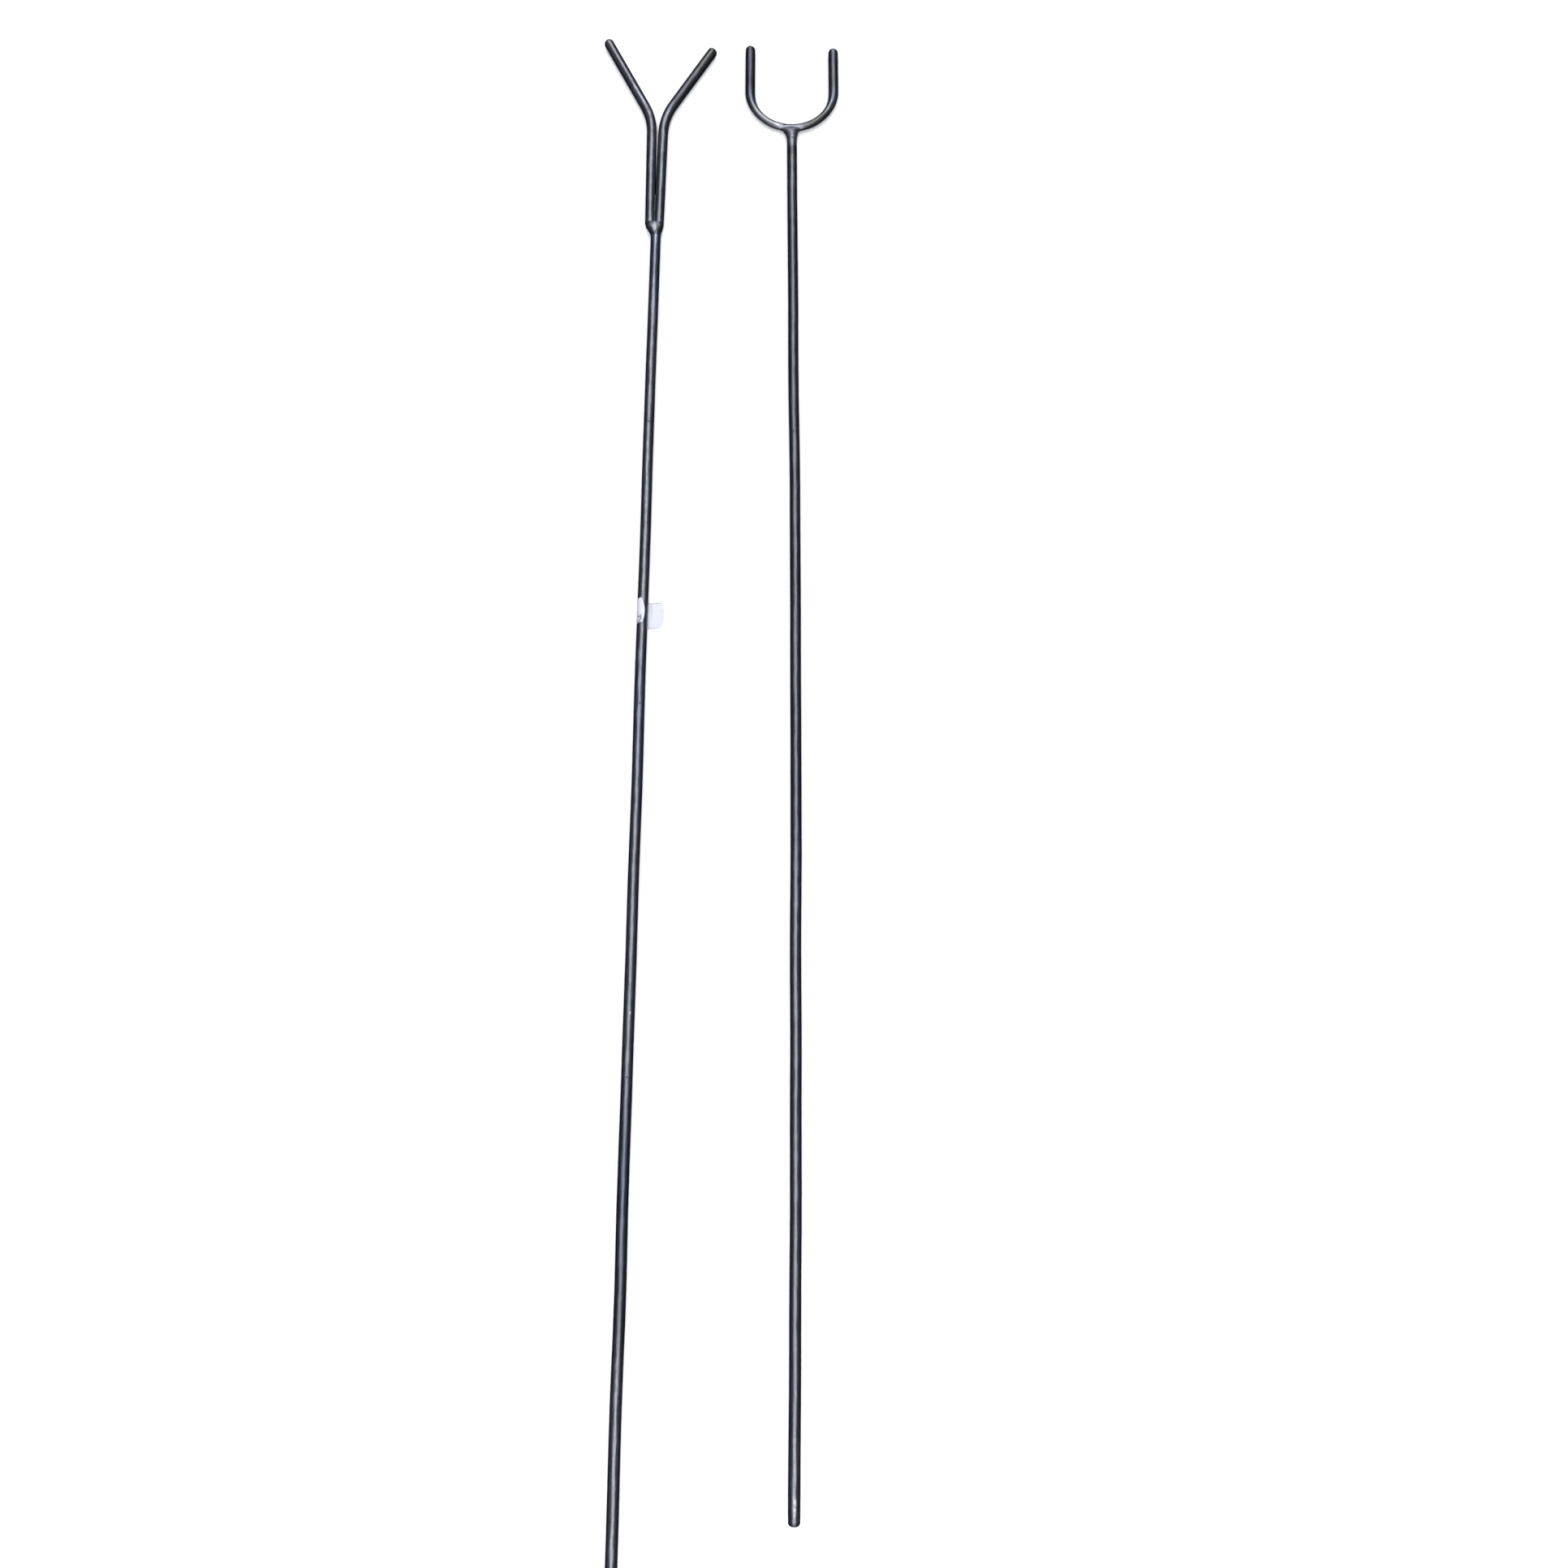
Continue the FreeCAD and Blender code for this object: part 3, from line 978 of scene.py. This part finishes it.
@dataclass
class UMarker(Marker):
    """The U-headed marker: stem, U fork and the weld between them.

    Attributes:
        right_arm_short: how much shorter the right arm is than the left.
        taper: the fork's radius in millimetres against the angle round its bend, in degrees.
        weld_reach: how far the fillet spreads along the fork.
        weld_lean: how far it leans to the right.
    """

    body: str = "u_marker"
    stem_bow: float = 3.3 * MM
    weld_run: float = 15.0 * MM
    right_arm_short: float = 4.2 * MM
    waist_radius: float = 4.5 * MM
    taper: tuple = ((0, 6.35), (8, 6.2), (16, 5.6), (26, 5.05), (38, 4.65), (52, 4.5), (90, 4.5))
    weld_reach: float = 5.0 * MM
    weld_lean: float = -1.1 * MM

    def __post_init__(self) -> None:
        """Read the stem's and the fork's places from the frame."""
        low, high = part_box("u_stem")
        self.radius = (high.x - low.x) / 2
        self.foot = Vector(((low.x + high.x) / 2, low.y, (low.z + high.z) / 2))
        self.stem_length = high.y - low.y
        self.top = self.foot + Vector((0.0, self.stem_length, 0.0))
        low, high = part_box("u_fork")
        self.bend_radius = (high.x - low.x) / 2 - self.radius
        self.left_tip = Vector((low.x + self.radius, high.y, self.foot.z))
        self.left_arm = high.y - low.y - self.waist_radius - self.bend_radius

    def stem(self) -> None:
        """The stem, with the weld's heat tints at its top, a rubbed foot carrying painted highlight streaks,
        and painted shade on its rounded end.
        """
        top = self.stem_length
        zones = (
            Zone(1.12, 0.56, (0.092, 0.103, 0.122), 0.9, -0.01),
            Zone(0.33, 0.30, (0.118, 0.132, 0.152), 0.8, 0.0),
            # Painted shade: the foot's rounded end is darkened so the lamp's glint on it stays dim.
            Zone(0.0, 4.5 * MM, (0.030, 0.034, 0.042), 0.95, -0.05),
            Zone(top - 12 * MM, 15 * MM, (0.235, 0.248, 0.275), 0.95, -0.05),
            Zone(top - 34 * MM, 8 * MM, (0.088, 0.078, 0.098), 0.85, -0.03),
            Zone(top - 45 * MM, 5 * MM, (0.145, 0.150, 0.132), 0.7, 0.0),
        )
        spots = (
            # Painted highlights: the three bright marks low on the foot's front stand for the highlight,
            # brightest near the end, on a foot that is also rubbed there.
            Spot(0.020, 84, 2.0 * MM, 8.0, (0.36, 0.375, 0.40), broken=0.12),
            Spot(0.070, 80, 1.2 * MM, 26.0, (0.22, 0.23, 0.25), broken=0.12),
            Spot(0.128, 72, 0.8 * MM, 3.0, (0.30, 0.31, 0.33), broken=0.2),
            Spot(1.232, 80, 1.1 * MM, 3.0, (0.03, 0.032, 0.038), 0.06 * MM),
            Spot(1.226, 96, 1.0 * MM, 2.0, (0.30, 0.31, 0.33)),
            Spot(0.985, 95, 1.2 * MM, 2.5, (0.03, 0.032, 0.038), 0.06 * MM),
            Spot(0.70, 100, 0.9 * MM, 3.0, (0.04, 0.044, 0.05), 0.05 * MM),
        )
        self.add_stem(self.foot, MillScale("u_stem_scale", 3.0, self.radius, zones, spots), "u_stem")

    def fork(self) -> None:
        """The U fork, from its left tip round to its right tip, with a painted shade line and a painted
        highlight on its left bend.
        """
        arc = math.pi * self.bend_radius
        middle = self.left_arm + arc / 2
        zones = (
            Zone(middle + 30 * MM, 26 * MM, (0.108, 0.106, 0.094), 0.85, -0.03),
            Zone(self.left_arm + arc + 33 * MM, 38 * MM, (0.104, 0.103, 0.121), 0.8, -0.01),
            Zone(middle - 34 * MM, 30 * MM, (0.300, 0.310, 0.335), 0.85, -0.10),
            Zone(middle, 14 * MM, (0.235, 0.245, 0.270), 0.9, -0.12),
            Zone(0.040, 42 * MM, (0.082, 0.080, 0.097), 0.95, -0.03),
            # Painted shade: the left arm's rounded tip is darkened so its glint stays dim.
            Zone(0.004, 6 * MM, (0.070, 0.069, 0.060), 0.6, -0.04),
        )
        thin, pit = self.waist_radius, 0.12 * MM
        spots = (
            # Painted shade: a dark line along the inner side of the left bend.
            Spot(middle - 26 * MM, 155, 2.3 * MM, 9.0, (0.02, 0.022, 0.028), radius=thin),
            # Painted highlight: a bright patch on the front of the left bend, beside the weld.
            Spot(middle - 19 * MM, 76, 1.5 * MM, 5.0, (0.52, 0.54, 0.58), broken=0.12, radius=thin),
            Spot(middle - 10 * MM, 100, 1.2 * MM, 3.0, depth=pit, radius=thin),
            Spot(middle - 18 * MM, 112, 1.0 * MM, 3.4, depth=pit, radius=thin),
            Spot(self.left_arm + arc + 34 * MM, 60, 1.2 * MM, 1.0, depth=pit),
        )
        bar = RoundBar("u_fork_bar", self.radius, self.left_tip, math.pi,
                       start_rounding=self.tip_rounding, end_rounding=self.tip_rounding, taper=self._taper())
        bar.straight(self.left_arm).bend(self.bend_radius, -math.pi)
        bar.straight(self.left_arm - self.right_arm_short)
        self.add_bar(bar, MillScale("u_fork_scale", 11.0, self.radius, zones, spots), "u_fork")

    def _taper(self) -> tuple:
        """The fork's radius against the distance along it, thinnest through the bend."""
        start, bend = self.left_arm, self.bend_radius
        down = [(start + math.radians(turn) * bend, radius * MM) for turn, radius in self.taper]
        end = 2 * start + math.pi * bend
        up = [(end - along, radius) for along, radius in reversed(down)]
        return tuple(down + up)

    def weld(self) -> None:
        """The smooth concave fillet between stem and fork."""
        run, reach, lean = self.weld_run, self.weld_reach, self.weld_lean
        r, waist = self.radius, self.waist_radius
        stations = [
            Station(-run, 0.0, 0.0, r * 0.99, r * 0.99),
            Station(-run * 0.80, 0.0, reach * 0.02, r * 1.025, r * 1.025),
            Station(-run * 0.45, lean * 0.2, reach * 0.22, r * 1.025, r * 1.01),
            Station(-run * 0.27, lean * 0.5, reach * 0.42, r, r * 0.97),
            Station(-run * 0.07, lean, reach * 0.78, r * 0.93, r * 0.90),
            Station(0.8 * MM, lean, reach * 1.3, r * 0.83, r * 0.84),
            Station(2.4 * MM, lean, reach * 2.0, waist, waist * 1.03),
            Station(4.4 * MM, lean, reach * 2.0, waist * 0.95, waist * 0.97),
            Station(7.0 * MM, lean, reach * 1.2, waist * 0.6, waist * 0.60),
        ]
        collar = WeldCollar("u_saddle_bead", self.top, stations, ripple=0.0, lumps=0.06 * MM, squareness=0.8)
        finish = WeldMetal("u_saddle_weld_metal", (3, 1, 2), bright=(0.245, 0.258, 0.285),
                           blued=(0.175, 0.183, 0.207), specks=0.05, dullness=0.02)
        self.add_weld(collar, finish, "u_saddle_weld")

    def make(self) -> None:
        """Build all its pieces."""
        self.stem()
        self.fork()
        self.weld()


@dataclass
class YMarker(Marker):
    """The Y-headed marker: stem, two prongs, their welds and the price label.

    Attributes:
        lay: how far the marker is turned on the floor, its head towards +X.
        splay: lean of each leg away from its twin.
        stem_offset: how far the stem's axis lies to the right of the legs' middle.
    """

    body: str = "y_marker"
    stem_bow: float = -1.0 * MM
    weld_run: float = 21.0 * MM
    lay: float = math.radians(0.38)
    splay: float = math.radians(0.75)
    leg_flat: float = 0.7 * MM
    bend_radius: float = 90.0 * MM
    left_leg: float = 137.7 * MM
    left_arm: float = 114.2 * MM
    left_angle: float = math.radians(27.5)
    right_leg: float = 135.3 * MM
    right_arm: float = 100.1 * MM
    right_angle: float = math.radians(30.9)
    stem_offset: float = 2.3 * MM
    seam_length: float = 40.0 * MM
    seam_radius: float = 2.6 * MM
    stem_length: float = 1670.2 * MM

    def __post_init__(self) -> None:
        """Read the stem's place from the frame."""
        low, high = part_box("y_left_prong")
        self.radius = (high.z - low.z) / 2
        low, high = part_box("y_stem")
        foot = Vector((low.x + self.radius * math.cos(self.lay), low.y, (low.z + high.z) / 2))
        self.place = Matrix.Translation(foot) @ Matrix.Rotation(-self.lay, 4, "Z")
        self.top = Vector((0.0, self.stem_length, 0.0))
        label_low, label_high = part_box("price_label")
        self.label_height = (label_low.y + label_high.y) / 2 - foot.y

    def stem(self) -> None:
        """The stem, darkest low down and brightest under the weld."""
        top = self.stem_length
        zones = (
            Zone(top - 16 * MM, 18 * MM, (0.235, 0.240, 0.265), 0.75, 0.03),
            Zone(top - 60 * MM, 22 * MM, (0.125, 0.118, 0.140), 0.5, 0.0),
            Zone(0.78, 0.36, (0.128, 0.142, 0.162), 0.75, -0.01),
            Zone(0.44, 0.15, (0.082, 0.095, 0.110), 0.9, -0.02),
        )
        spots = (
            Spot(1.385, 96, 1.3 * MM, 1.2, depth=0.1 * MM),
            Spot(1.02, 88, 1.1 * MM, 1.6, depth=0.08 * MM),
            Spot(0.59, 92, 1.3 * MM, 1.4, depth=0.08 * MM),
            Spot(0.66, 82, 1.0 * MM, 2.2, (0.45, 0.47, 0.50)),
        )
        self.add_stem(Vector(), MillScale("y_stem_scale", 23.0, self.radius, zones, spots), "y_stem")

    def prong(self, side: Side) -> None:
        """One leg with its bent prong.

        Args:
            side: which prong.
        """
        sign = side.value
        left = side is Side.LEFT
        leg, arm, angle = (
            (self.left_leg, self.left_arm, self.left_angle) if left
            else (self.right_leg, self.right_arm, self.right_angle)
        )
        reach = self.radius / math.cos(self.splay) - self.leg_flat
        foot = self.top + Vector((sign * reach - self.stem_offset, 0.0, 0.0))
        past = leg + self.bend_radius * (angle - self.splay)
        if left:
            zones = (
                Zone(past + arm * 0.75, 40 * MM, (0.185, 0.172, 0.200), 0.75, 0.03),
                Zone(past + arm * 0.15, 16 * MM, (0.235, 0.250, 0.285), 0.75, 0.06),
                Zone(leg * 0.4, 60 * MM, (0.142, 0.150, 0.172), 0.85, 0.04),
            )
            spots = (
                Spot(past + arm * 0.19, 96, 1.1 * MM, 1.0, depth=0.12 * MM),
                Spot(leg + (past - leg) * 0.75, 84, 1.0 * MM, 3.0, (0.05, 0.05, 0.06), 0.1 * MM),
            )
        else:
            zones = (
                Zone(past + arm * 0.80, 30 * MM, (0.092, 0.092, 0.083), 0.85, -0.02),
                Zone(past + arm * 0.25, 34 * MM, (0.094, 0.091, 0.104), 0.85, -0.05),
                Zone(leg * 0.4, 60 * MM, (0.136, 0.144, 0.166), 0.85, 0.03),
            )
            spots = (
                Spot(past + arm * 0.05, 92, 1.1 * MM, 2.0, (0.05, 0.05, 0.06), 0.1 * MM),
                Spot(past + arm * 0.52, 100, 1.0 * MM, 1.6, (0.05, 0.05, 0.045), 0.08 * MM),
            )
        name = "y_left_bar" if left else "y_right_bar"
        bar = RoundBar(name, self.radius, foot, sign * self.splay, end_rounding=self.tip_rounding,
                       flat_side=-sign, flat_at=-self.stem_offset, flat_to=self.stem_length + leg)
        bar.straight(leg).bend(self.bend_radius, sign * (angle - self.splay)).straight(arm)
        finish = MillScale(name + "_scale", 37.0 + 9.0 * sign, self.radius, zones, spots)
        self.add_bar(bar, finish, "y_left_prong" if left else "y_right_prong")

    def neck_weld(self) -> None:
        """The weld that carries the two legs down to the stem, with a painted highlight on its front."""
        r, off, run = self.radius, -self.stem_offset, self.weld_run
        half = r - self.leg_flat
        stations = [
            Station(-run, 0.0, 0.0, r * 0.99, r * 0.99),
            Station(-run * 0.78, off * 0.1, half * 0.06, r * 1.02, r * 1.01),
            Station(-run * 0.50, off * 0.45, half * 0.42, r * 1.02, r * 1.0),
            Station(-run * 0.22, off * 0.85, half * 0.86, r * 1.01, r * 0.97),
            Station(0.0, off, half, r * 1.0, r * 0.90),
            Station(2.0 * MM, off, half * 0.9, r * 0.8, r * 0.75),
        ]
        collar = WeldCollar("y_neck_bead", self.top, stations, ripple=0.03 * MM, lumps=0.22 * MM)
        # Painted highlight on the weld's front, where its sloping face catches the light.
        front = self.place @ (self.top + Vector((off * 0.7, -run * 0.42, r)))
        finish = WeldMetal("y_neck_weld_metal", (7, 5, 4), bright=(0.105, 0.114, 0.132),
                           blued=(0.055, 0.058, 0.072), specks=0.45, painted_highlight=front)
        self.add_weld(collar, finish, "y_neck_weld")

    def seam_weld(self, face: Face) -> None:
        """One bead in the groove between the legs, its colours darkened as painted shade of the groove.

        Args:
            face: front or back.
        """
        seam = f"y_{face.name.lower()}_seam"
        height = face.value * (self.seam_radius + 0.2 * MM)
        start = self.top + Vector((-self.stem_offset, -0.5 * MM, height))
        bead = SeamBead(seam + "_bead", start, self.seam_length, self.seam_radius)
        # Painted shade: the bead's colours are far darker than the other welds' to stand for the shade in the
        # groove between the legs.
        finish = WeldMetal(seam + "_bead_metal", (1, 9, 6), bright=(0.040, 0.043, 0.051),
                           blued=(0.024, 0.026, 0.033), specks=0.3)
        self.add_weld(bead, finish, seam + "_weld")

    def label(self) -> None:
        """The paper price label."""
        bow = self.stem_bow * math.sin(math.pi * self.label_height / self.stem_length)
        label = PriceLabel("price_label_paper", Vector((bow, self.label_height, 0.0)), self.radius)
        bm, coords = label.build()
        piece = self.dress(label.name, bm, coords, LabelPaper().material(), "label_paper", "price_label")
        solid = piece.modifiers.new("thickness", "SOLIDIFY")
        solid.thickness = label.thickness
        solid.offset = 0.0

    def make(self) -> None:
        """Build all its pieces."""
        self.stem()
        for side in Side:
            self.prong(side)
        self.neck_weld()
        for face in Face:
            self.seam_weld(face)
        self.label()


@dataclass
class Studio:
    """Pale floor, one large soft light overhead, a weak panel, and the camera above the markers.

    Attributes:
        aim: point that the camera looks at.
    """

    aim: Vector
    lens: float = 34.66
    sensor: float = 36.0
    camera_back: float = 458.8 * MM
    camera_rise: float = 1681.7 * MM
    view_depth: float = 100.0
    floor_side: float = 60.0
    daylight: tuple = (0.97, 0.985, 1.0)
    ground_glow: tuple = (0.045, 0.055, 0.075)
    sky_glow: tuple = (0.16, 0.17, 0.19)

    def floor(self) -> None:
        """Lay the floor, which gives no mirror image in the bars."""
        bm = bmesh.new()
        bmesh.ops.create_grid(bm, x_segments=1, y_segments=1, size=self.floor_side / 2)
        mesh = bpy.data.meshes.new("floor")
        bm.to_mesh(mesh)
        bm.free()
        mesh.materials.append(FloorFinish().material())
        floor = linked("floor", mesh)
        floor.visible_glossy = False

    def world(self) -> None:
        """Dim surroundings, darker below the horizon."""
        world = bpy.data.worlds.new("studio")
        world.use_nodes = True
        tree = world.node_tree
        direction = add_node(tree, "TexCoord", {}).outputs["Generated"]
        height = add_node(tree, "SeparateXYZ", {0: direction}).outputs["Z"]
        rise = add_node(tree, "MapRange", {"Value": height, "From Min": -0.05, "From Max": 0.35})
        glow = {"Factor": rise.outputs["Result"], 6: self.ground_glow, 7: self.sky_glow}
        mix = add_node(tree, "Mix", glow, data_type="RGBA")
        tree.links.new(mix.outputs[2], tree.nodes["Background"].inputs["Color"])
        bpy.context.scene.world = world

    def light(self, name: str, size: tuple, power: float, offset: tuple, tilt: float) -> None:
        """Hang one soft rectangular light.

        Args:
            name: its name.
            size: its width and length.
            power: its power, in watts.
            offset: its place from the point that the camera looks at.
            tilt: its turn about X, in degrees; 0 shines straight down.
        """
        data = bpy.data.lights.new(name, "AREA")
        data.shape = "RECTANGLE"
        data.size, data.size_y = size
        data.energy = power
        data.color = self.daylight
        lamp = linked(name, data)
        lamp.location = self.aim + Vector(offset)
        lamp.rotation_euler.x = math.radians(tilt)

    def camera(self) -> None:
        """Set the camera above and a little behind the markers' middle."""
        data = bpy.data.cameras.new("camera")
        data.lens = self.lens
        data.sensor_width = self.sensor
        data.clip_end = self.view_depth
        camera = linked("camera", data)
        camera.location = self.aim + Vector((0.0, -self.camera_back, self.camera_rise))
        camera.rotation_euler.x = math.atan2(self.camera_back, self.camera_rise)
        bpy.context.scene.camera = camera

    def make(self) -> None:
        """Set up the whole studio."""
        self.floor()
        self.world()
        self.light("overhead", (2.45, 8.4), 200.0, (0.0, 0.5, 2.7), 0.0)
        self.light("panel", (3.0, 1.8), 150.0, (0.0, -3.6, 1.7), 65.0)
        self.camera()
        bpy.context.scene.view_settings.view_transform = "Standard"


def main() -> None:
    """Build the markers and the studio."""
    logging.basicConfig(level=logging.INFO, format="%(message)s")
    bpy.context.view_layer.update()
    u_marker = UMarker()
    Studio(u_marker.foot + FOOT_TO_VIEW).make()
    u_marker.make()
    YMarker().make()


if __name__ == "__main__":
    main()
